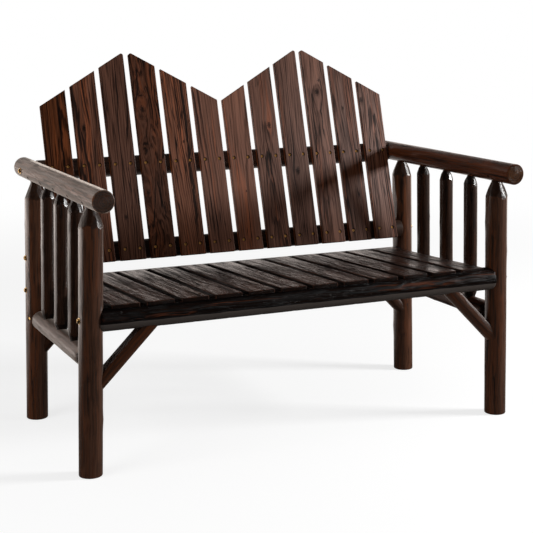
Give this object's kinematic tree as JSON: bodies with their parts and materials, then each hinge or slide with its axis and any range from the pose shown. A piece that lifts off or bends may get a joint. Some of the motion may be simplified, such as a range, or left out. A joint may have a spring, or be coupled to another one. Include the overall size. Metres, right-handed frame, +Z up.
{
  "type": "garden bench",
  "caption": "Rustic log bench with round posts, log arms over spindles, a slatted seat and a raked slat back whose top line rises in two gables.",
  "frame": {"origin": "on the ground, midway between the two end frames and midway between the front and rear ends of the arms", "axes": "+X along the bench to the sitter's left (the right end as seen from the front), +Y from the front of the seat to the back, +Z up"},
  "size_m": [1.2598, 0.745, 1.0098],
  "materials": {
    "post_wood": "flame-charred and brushed fir, satin clear coat",
    "arm_wood": "flame-charred and brushed fir, satin clear coat",
    "back_wood": "charred reddish-brown fir board, open grain, satin",
    "seat_wood": "charred dark grey-brown fir board, satin",
    "rail_wood": "deeply charred fir log, semi-gloss clear coat",
    "dowel_wood": "bare hardwood dowel",
    "brass": "brass-plated, satin",
    "steel": "zinc-plated"
  },
  "bodies": {
    "root": {"arm_bolts": "brass", "arm_left": "arm_wood", "arm_right": "arm_wood", "arm_screws": "brass", "back_rail_lower": "rail_wood", "back_rail_upper": "rail_wood", "back_screws_lower": "brass", "back_screws_upper": "brass", "back_slat_01": "back_wood", "back_slat_02": "back_wood", "back_slat_03": "back_wood", "back_slat_04": "back_wood", "back_slat_05": "back_wood", "back_slat_06": "back_wood", "back_slat_07": "back_wood", "back_slat_08": "back_wood", "back_slat_09": "back_wood", "back_slat_10": "back_wood", "back_slat_11": "back_wood", "back_slat_12": "back_wood", "brace_dowels": "dowel_wood", "brace_front_left": "post_wood", "brace_front_right": "post_wood", "brace_rear_left": "post_wood", "brace_rear_right": "post_wood", "post_front_left": "post_wood", "post_front_right": "post_wood", "post_rear_left": "post_wood", "post_rear_right": "post_wood", "rail_bolts": "brass", "seat_rail_front": "rail_wood", "seat_rail_rear": "rail_wood", "seat_screws_front": "steel", "seat_screws_rear": "steel", "seat_slat_01": "seat_wood", "seat_slat_02": "seat_wood", "seat_slat_03": "seat_wood", "seat_slat_04": "seat_wood", "seat_slat_05": "seat_wood", "seat_slat_06": "seat_wood", "seat_slat_07": "seat_wood", "seat_slat_08": "seat_wood", "seat_slat_09": "seat_wood", "seat_slat_10": "seat_wood", "seat_slat_11": "seat_wood", "seat_slat_12": "seat_wood", "side_rail_left": "post_wood", "side_rail_right": "post_wood", "side_rail_screws": "brass", "spindle_left_1": "post_wood", "spindle_left_2": "post_wood", "spindle_left_3": "post_wood", "spindle_right_1": "post_wood", "spindle_right_2": "post_wood", "spindle_right_3": "post_wood"}
  },
  "joints": []
}
